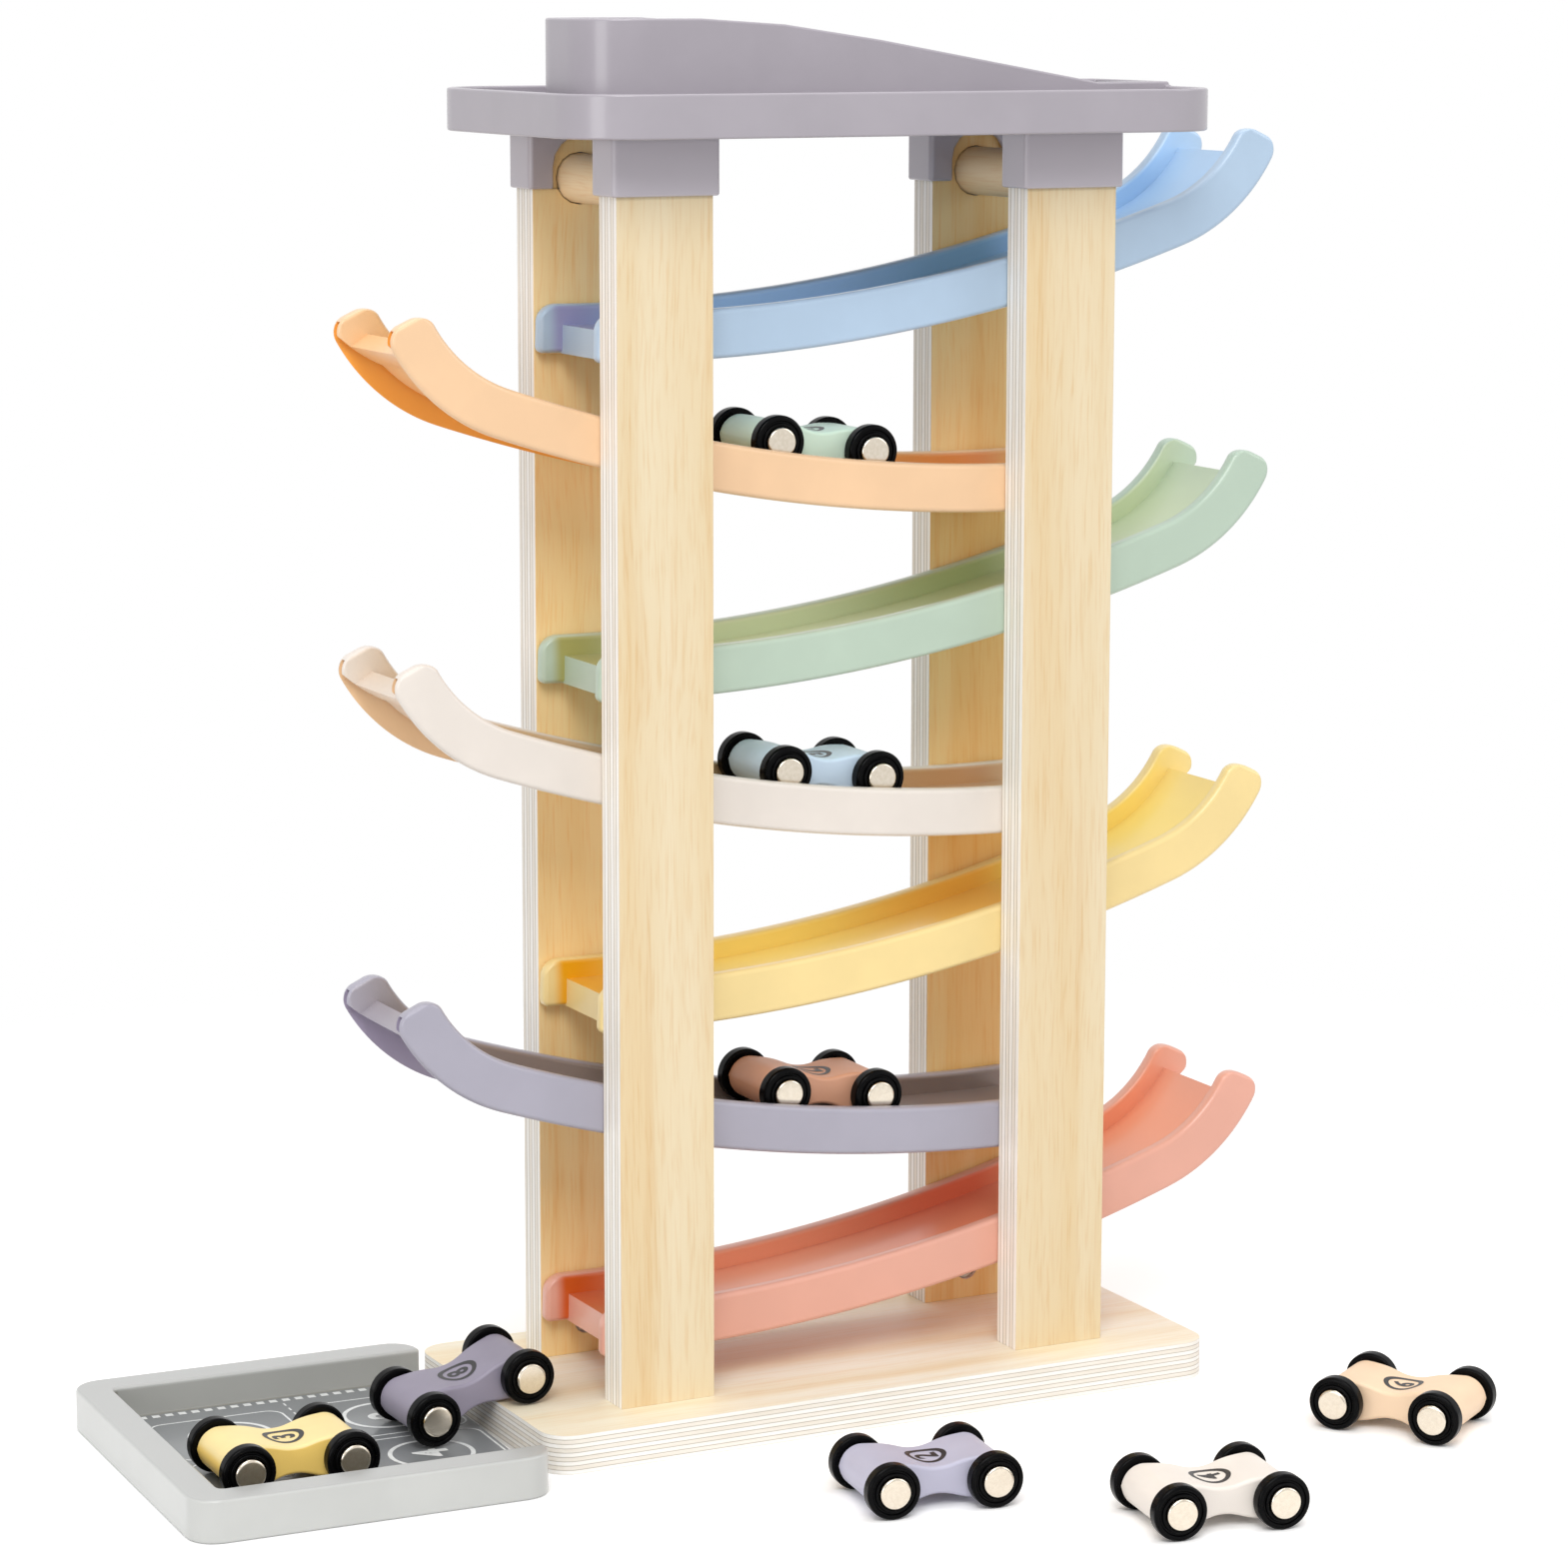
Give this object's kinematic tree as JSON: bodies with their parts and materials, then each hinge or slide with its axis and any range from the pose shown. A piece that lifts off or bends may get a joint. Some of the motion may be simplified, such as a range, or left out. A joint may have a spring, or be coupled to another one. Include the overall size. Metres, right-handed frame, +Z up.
{
  "type": "wooden car track",
  "caption": "Plywood ramp-racer tower with zigzag moulded tracks, a launch tray with a drop hole, a parking tray and small wooden cars that roll along the tracks and the floor.",
  "frame": {"origin": "middle of the base board's underside", "axes": "+Z up, +X to the viewer's right along the base's length, -Y towards the viewer"},
  "size_m": [0.3966, 0.2521, 0.4246],
  "materials": {
    "birch_plywood": "clear satin lacquer on birch plywood",
    "zinc_steel": "zinc plated",
    "grey_plastic": "satin moulded",
    "pale_grey_plastic": "satin moulded, printed floor",
    "black_wheel": "black moulded tyre with a bright hub cap",
    "track_coral": "satin moulded",
    "track_lavender": "satin moulded",
    "track_yellow": "satin moulded",
    "track_cream": "satin moulded",
    "track_green": "satin moulded",
    "track_orange": "satin moulded",
    "track_blue": "satin moulded",
    "mint_car_paint": "satin paint on turned wood",
    "sky_car_paint": "satin paint on turned wood",
    "brown_car_paint": "satin paint on turned wood",
    "lavender_car_paint": "satin paint on turned wood",
    "white_car_paint": "satin paint on turned wood",
    "peach_car_paint": "satin paint on turned wood",
    "yellow_car_paint": "satin paint on turned wood",
    "purple_car_paint": "satin paint on turned wood"
  },
  "bodies": {
    "tower": {"base_board": "birch_plywood", "post_front_left": "birch_plywood", "post_back_left": "birch_plywood", "post_front_right": "birch_plywood", "post_back_right": "birch_plywood", "base_bolt_front_left": "zinc_steel", "base_bolt_back_left": "zinc_steel", "base_bolt_front_right": "zinc_steel", "base_bolt_back_right": "zinc_steel", "barrel_nut_front_left": "zinc_steel", "barrel_nut_back_left": "zinc_steel", "barrel_nut_front_right": "zinc_steel", "barrel_nut_back_right": "zinc_steel", "cross_dowel_left": "birch_plywood", "cross_dowel_right": "birch_plywood", "launch_tray": "grey_plastic", "track_coral": "track_coral", "track_lavender": "track_lavender", "track_yellow": "track_yellow", "track_cream": "track_cream", "track_green": "track_green", "track_orange": "track_orange", "track_blue": "track_blue", "parking_tray": "pale_grey_plastic"},
    "mint_car": {"mint_car_body": "mint_car_paint"},
    "mint_car_front": {"mint_car_front_wheels": "black_wheel"},
    "mint_car_rear": {"mint_car_rear_wheels": "black_wheel"},
    "sky_car": {"sky_car_body": "sky_car_paint"},
    "sky_car_front": {"sky_car_front_wheels": "black_wheel"},
    "sky_car_rear": {"sky_car_rear_wheels": "black_wheel"},
    "brown_car": {"brown_car_body": "brown_car_paint"},
    "brown_car_front": {"brown_car_front_wheels": "black_wheel"},
    "brown_car_rear": {"brown_car_rear_wheels": "black_wheel"},
    "lavender_car": {"lavender_car_body": "lavender_car_paint"},
    "lavender_car_front": {"lavender_car_front_wheels": "black_wheel"},
    "lavender_car_rear": {"lavender_car_rear_wheels": "black_wheel"},
    "white_car": {"white_car_body": "white_car_paint"},
    "white_car_front": {"white_car_front_wheels": "black_wheel"},
    "white_car_rear": {"white_car_rear_wheels": "black_wheel"},
    "peach_car": {"peach_car_body": "peach_car_paint"},
    "peach_car_front": {"peach_car_front_wheels": "black_wheel"},
    "peach_car_rear": {"peach_car_rear_wheels": "black_wheel"},
    "yellow_car": {"yellow_car_body": "yellow_car_paint"},
    "yellow_car_front": {"yellow_car_front_wheels": "black_wheel"},
    "yellow_car_rear": {"yellow_car_rear_wheels": "black_wheel"},
    "purple_car": {"purple_car_body": "purple_car_paint"},
    "purple_car_front": {"purple_car_front_wheels": "black_wheel"},
    "purple_car_rear": {"purple_car_rear_wheels": "black_wheel"}
  },
  "joints": [
    {"name": "mint_car_roll", "type": "hinge", "parent": "tower", "child": "mint_car", "pos_m": [0.066, 0, 0.8449], "axis": [0, 1, 0], "range_deg": [-5.92, 9.28]},
    {"name": "mint_car_front_spin", "type": "hinge", "parent": "mint_car", "child": "mint_car_front", "pos_m": [-0.02087, 0, 0.29897], "axis": [0, 1, 0], "range_deg": [-760, 760]},
    {"name": "mint_car_rear_spin", "type": "hinge", "parent": "mint_car", "child": "mint_car_rear", "pos_m": [0.01087, 0, 0.29486], "axis": [0, 1, 0], "range_deg": [-760, 760]},
    {"name": "sky_car_roll", "type": "hinge", "parent": "tower", "child": "sky_car", "pos_m": [0.066, 0, 0.7447], "axis": [0, 1, 0], "range_deg": [-5.61, 9.59]},
    {"name": "sky_car_front_spin", "type": "hinge", "parent": "sky_car", "child": "sky_car_front", "pos_m": [-0.01788, 0, 0.1983], "axis": [0, 1, 0], "range_deg": [-780, 780]},
    {"name": "sky_car_rear_spin", "type": "hinge", "parent": "sky_car", "child": "sky_car_rear", "pos_m": [0.01388, 0, 0.19436], "axis": [0, 1, 0], "range_deg": [-780, 780]},
    {"name": "brown_car_roll", "type": "hinge", "parent": "tower", "child": "brown_car", "pos_m": [0.066, 0, 0.6445], "axis": [0, 1, 0], "range_deg": [-5.61, 9.59]},
    {"name": "brown_car_front_spin", "type": "hinge", "parent": "brown_car", "child": "brown_car_front", "pos_m": [-0.01788, 0, 0.0981], "axis": [0, 1, 0], "range_deg": [-780, 780]},
    {"name": "brown_car_rear_spin", "type": "hinge", "parent": "brown_car", "child": "brown_car_rear", "pos_m": [0.01388, 0, 0.09416], "axis": [0, 1, 0], "range_deg": [-780, 780]},
    {"name": "lavender_car_roll", "type": "slide", "parent": "tower", "child": "lavender_car", "axis": [0.9925, -0.1219, 0], "range_m": [-0.04, 0.04]},
    {"name": "lavender_car_front_spin", "type": "hinge", "parent": "lavender_car", "child": "lavender_car_front", "pos_m": [-0.00812, -0.11895, 0.0083], "axis": [0.1219, 0.9925, 0], "range_deg": [-360, 360]},
    {"name": "lavender_car_rear_spin", "type": "hinge", "parent": "lavender_car", "child": "lavender_car_rear", "pos_m": [-0.03988, -0.11505, 0.0083], "axis": [0.1219, 0.9925, 0], "range_deg": [-360, 360]},
    {"name": "white_car_roll", "type": "slide", "parent": "tower", "child": "white_car", "axis": [0.9903, -0.1392, 0], "range_m": [-0.04, 0.04]},
    {"name": "white_car_front_spin", "type": "hinge", "parent": "white_car", "child": "white_car_front", "pos_m": [0.05584, -0.17223, 0.0083], "axis": [0.1392, 0.9903, 0], "range_deg": [-360, 360]},
    {"name": "white_car_rear_spin", "type": "hinge", "parent": "white_car", "child": "white_car_rear", "pos_m": [0.02416, -0.16777, 0.0083], "axis": [0.1392, 0.9903, 0], "range_deg": [-360, 360]},
    {"name": "peach_car_roll", "type": "slide", "parent": "tower", "child": "peach_car", "axis": [0.5592, -0.829, 0], "range_m": [-0.04, 0.04]},
    {"name": "peach_car_front_spin", "type": "hinge", "parent": "peach_car", "child": "peach_car_front", "pos_m": [0.14945, -0.13426, 0.0083], "axis": [0.829, 0.5592, 0], "range_deg": [-360, 360]},
    {"name": "peach_car_rear_spin", "type": "hinge", "parent": "peach_car", "child": "peach_car_rear", "pos_m": [0.13155, -0.10773, 0.0083], "axis": [0.829, 0.5592, 0], "range_deg": [-360, 360]},
    {"name": "yellow_car_roll", "type": "slide", "parent": "tower", "child": "yellow_car", "axis": [0.9997, -0.0244, 0], "range_m": [-0.003, 0.012]},
    {"name": "yellow_car_front_spin", "type": "hinge", "parent": "yellow_car", "child": "yellow_car_front", "pos_m": [-0.17218, -0.02639, 0.0116], "axis": [0.0244, 0.9997, 0], "range_deg": [-360, 360]},
    {"name": "yellow_car_rear_spin", "type": "hinge", "parent": "yellow_car", "child": "yellow_car_rear", "pos_m": [-0.20417, -0.0256, 0.0116], "axis": [0.0244, 0.9997, 0], "range_deg": [-360, 360]},
    {"name": "purple_car_roll", "type": "slide", "parent": "tower", "child": "purple_car", "axis": [-0.9596, -0.0084, -0.2812], "range_m": [-0.012, 0]},
    {"name": "purple_car_front_spin", "type": "hinge", "parent": "purple_car", "child": "purple_car_front", "pos_m": [-0.13731, -0.00327, 0.0116], "axis": [0.0087, -1, 0], "range_deg": [-120, 120]},
    {"name": "purple_car_rear_spin", "type": "hinge", "parent": "purple_car", "child": "purple_car_rear", "pos_m": [-0.1066, -0.003, 0.0206], "axis": [0.0087, -1, 0], "range_deg": [-120, 120]}
  ],
  "couplings": [
    {"joint": "mint_car_front_spin", "follows": "mint_car_roll", "ratio": -67.639},
    {"joint": "mint_car_rear_spin", "follows": "mint_car_roll", "ratio": -67.639},
    {"joint": "sky_car_front_spin", "follows": "sky_car_roll", "ratio": -67.639},
    {"joint": "sky_car_rear_spin", "follows": "sky_car_roll", "ratio": -67.639},
    {"joint": "brown_car_front_spin", "follows": "brown_car_roll", "ratio": -67.639},
    {"joint": "brown_car_rear_spin", "follows": "brown_car_roll", "ratio": -67.639},
    {"joint": "lavender_car_front_spin", "follows": "lavender_car_roll", "rad_per_m": 120.48},
    {"joint": "lavender_car_rear_spin", "follows": "lavender_car_roll", "rad_per_m": 120.48},
    {"joint": "white_car_front_spin", "follows": "white_car_roll", "rad_per_m": 120.48},
    {"joint": "white_car_rear_spin", "follows": "white_car_roll", "rad_per_m": 120.48},
    {"joint": "peach_car_front_spin", "follows": "peach_car_roll", "rad_per_m": 120.48},
    {"joint": "peach_car_rear_spin", "follows": "peach_car_roll", "rad_per_m": 120.48},
    {"joint": "yellow_car_front_spin", "follows": "yellow_car_roll", "rad_per_m": 120.48},
    {"joint": "yellow_car_rear_spin", "follows": "yellow_car_roll", "rad_per_m": 120.48},
    {"joint": "purple_car_front_spin", "follows": "purple_car_roll", "rad_per_m": 120.48},
    {"joint": "purple_car_rear_spin", "follows": "purple_car_roll", "rad_per_m": 120.48}
  ]
}
